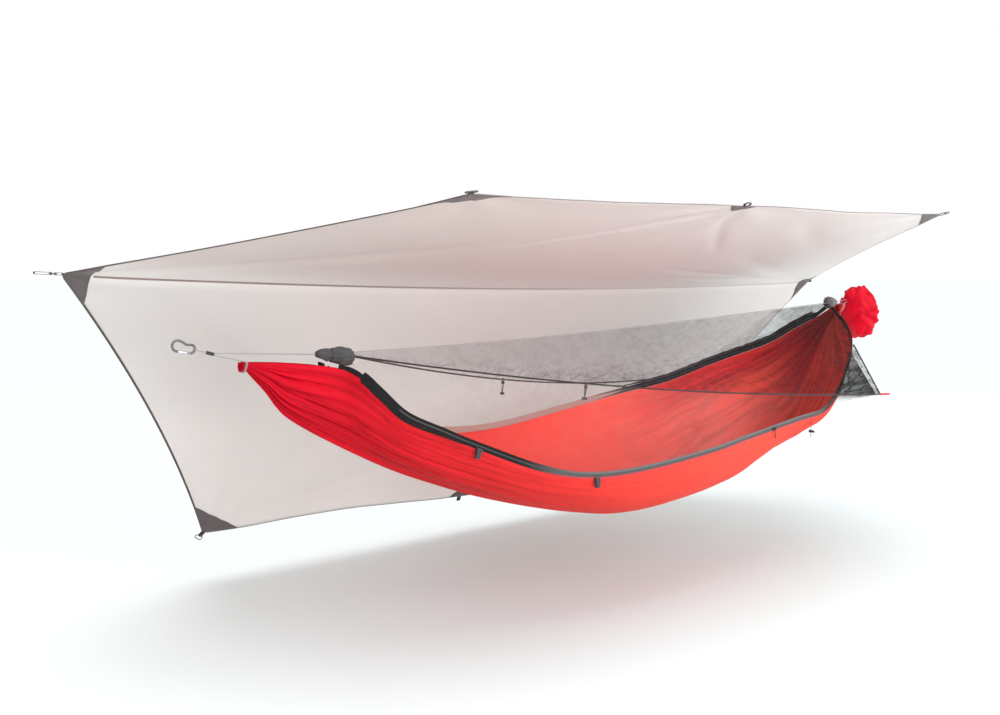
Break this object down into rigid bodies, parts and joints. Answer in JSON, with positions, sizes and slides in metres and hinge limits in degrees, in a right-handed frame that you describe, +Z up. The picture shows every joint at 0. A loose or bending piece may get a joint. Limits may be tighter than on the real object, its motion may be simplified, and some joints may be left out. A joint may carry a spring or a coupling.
{
  "type": "hammock tent",
  "caption": "Gathered-end hammock with a zipped insect net, ridge cord and two hanging carabiners, under a hexagonal rain fly with dark corner patches, webbing tabs and guy rings.",
  "frame": {"origin": "middle of the line between the two points where the tree straps bear in the carabiners", "axes": "+X along the hang line from the head end to the foot end, +Y from the fly's porch side to its wall side, +Z up"},
  "size_m": [3.432, 1.4405, 1.1455],
  "materials": {
    "fly_cloth": "matt coated cloth",
    "gusset_cloth": "matt",
    "webbing": "woven",
    "red_cloth": "soft sheen",
    "red_webbing": "woven",
    "zip_tape": "woven",
    "net": "fine mesh",
    "black_cord": "braided",
    "grey_cord": "braided",
    "black_plastic": "satin",
    "steel": "polished",
    "gunmetal": "anodised"
  },
  "bodies": {
    "fly": {"porch_panel": "fly_cloth", "wall_panel": "fly_cloth", "ridge_seam": "webbing", "head_gusset": "gusset_cloth", "foot_gusset": "gusset_cloth", "near_head_gusset": "gusset_cloth", "near_mid_gusset": "gusset_cloth", "near_foot_gusset": "gusset_cloth", "far_head_gusset": "gusset_cloth", "far_mid_gusset": "gusset_cloth", "far_foot_gusset": "gusset_cloth", "head_tab": "webbing", "foot_tab": "webbing", "near_head_tab": "webbing", "near_mid_tab": "webbing", "near_foot_tab": "webbing", "far_head_tab": "webbing", "far_mid_tab": "webbing", "far_foot_tab": "webbing", "head_carabiner": "gunmetal", "foot_carabiner": "gunmetal"},
    "hammock": {"hammock_shell": "red_cloth", "net_roof": "net", "near_net_wall": "net", "far_net_wall": "net", "near_zip": "zip_tape", "far_zip": "zip_tape", "near_net_seam": "black_cord", "far_net_seam": "black_cord", "near_pull_out_edge": "black_cord", "far_pull_out_edge": "black_cord", "near_pull_out_tab": "red_webbing", "far_pull_out_tab": "red_webbing", "head_net_cap": "net", "foot_net_cap": "net", "ridge_cord": "grey_cord", "head_eye_cord": "grey_cord", "foot_eye_cord": "grey_cord", "head_ferrule": "black_plastic", "foot_ferrule": "black_plastic", "head_gather_cord": "grey_cord", "foot_gather_cord": "grey_cord", "stuff_sack": "red_cloth", "head_gear_loop": "webbing", "mid_gear_loop": "webbing", "draw_cord": "black_cord", "cord_lock": "black_plastic"},
    "head_gate": {"head_gate": "steel"},
    "foot_gate": {"foot_gate": "steel"},
    "head_ring": {"head_ring": "steel"},
    "near_head_ring": {"near_head_ring": "steel"},
    "near_foot_ring": {"near_foot_ring": "steel"},
    "far_head_ring": {"far_head_ring": "steel"},
    "far_foot_ring": {"far_foot_ring": "steel"},
    "ridge_pull": {"ridge_pull_tab": "webbing"},
    "near_toggle": {"near_toggle": "black_plastic"},
    "far_toggle": {"far_toggle": "black_plastic"},
    "slider": {"zip_slider": "black_plastic"},
    "slider_pull": {"zip_pull": "black_plastic"},
    "lock_button": {"lock_button": "black_plastic"}
  },
  "joints": [
    {"name": "hammock_swing", "type": "hinge", "parent": "fly", "child": "hammock", "pos_m": [-0.00037, 0, -0.01352], "axis": [0.9997, 0, 0.0253], "range_deg": [-20, 12]},
    {"name": "head_gate_hinge", "type": "hinge", "parent": "fly", "child": "head_gate", "pos_m": [-1.46118, 0, -0.05622], "axis": [0, 1, 0], "range_deg": [0, 25], "stiffness_Nm_per_rad": 0.04, "springref_deg": -28.65},
    {"name": "foot_gate_hinge", "type": "hinge", "parent": "fly", "child": "foot_gate", "pos_m": [1.46009, 0, 0.0159], "axis": [0, -1, 0], "range_deg": [0, 25], "stiffness_Nm_per_rad": 0.04, "springref_deg": -28.65},
    {"name": "head_ring_hinge", "type": "hinge", "parent": "fly", "child": "head_ring", "pos_m": [-1.60968, 0.445, 0.12866], "axis": [0, 1, 0], "range_deg": [-80, 80]},
    {"name": "near_head_ring_hinge", "type": "hinge", "parent": "fly", "child": "near_head_ring", "pos_m": [-1.01428, -0.51492, 0.3145], "axis": [-0.8435, 0.5262, -0.1076], "range_deg": [-80, 80]},
    {"name": "near_foot_ring_hinge", "type": "hinge", "parent": "fly", "child": "near_foot_ring", "pos_m": [1.16834, -0.4986, 0.33147], "axis": [0.8405, 0.5242, -0.1368], "range_deg": [-80, 80]},
    {"name": "far_head_ring_hinge", "type": "hinge", "parent": "fly", "child": "far_head_ring", "pos_m": [-1.01441, 0.89811, -0.73846], "axis": [-0.8363, -0.248, 0.4889], "range_deg": [-80, 80]},
    {"name": "far_foot_ring_hinge", "type": "hinge", "parent": "fly", "child": "far_foot_ring", "pos_m": [1.1682, 0.89796, -0.79169], "axis": [0.848, -0.2515, 0.4665], "range_deg": [-80, 80]},
    {"name": "ridge_pull_hinge", "type": "hinge", "parent": "head_ring", "child": "ridge_pull", "pos_m": [-1.62366, 0.445, 0.12945], "axis": [0, 1, 0], "range_deg": [-60, 60]},
    {"name": "near_toggle_hinge", "type": "hinge", "parent": "hammock", "child": "near_toggle", "pos_m": [-0.28791, -0.16312, -0.19922], "axis": [0.97, -0.2085, -0.1249], "range_deg": [-8, 45]},
    {"name": "far_toggle_hinge", "type": "hinge", "parent": "hammock", "child": "far_toggle", "pos_m": [-0.31658, 0.17856, -0.21209], "axis": [0.9619, 0.237, -0.1361], "range_deg": [-45, 8]},
    {"name": "zip_slide", "type": "slide", "parent": "hammock", "child": "slider", "axis": [0.9921, 0.0952, 0.0817], "range_m": [-0.15, 0.13]},
    {"name": "zip_pull_hinge", "type": "hinge", "parent": "slider", "child": "slider_pull", "pos_m": [0.47057, -0.29737, -0.39316], "axis": [0.9921, 0.0952, 0.0817], "range_deg": [-100, 4]},
    {"name": "lock_press", "type": "slide", "parent": "hammock", "child": "lock_button", "axis": [0, 1, 0], "range_m": [0, 0.003], "stiffness_N_per_m": 300, "springref_m": -0.003}
  ]
}
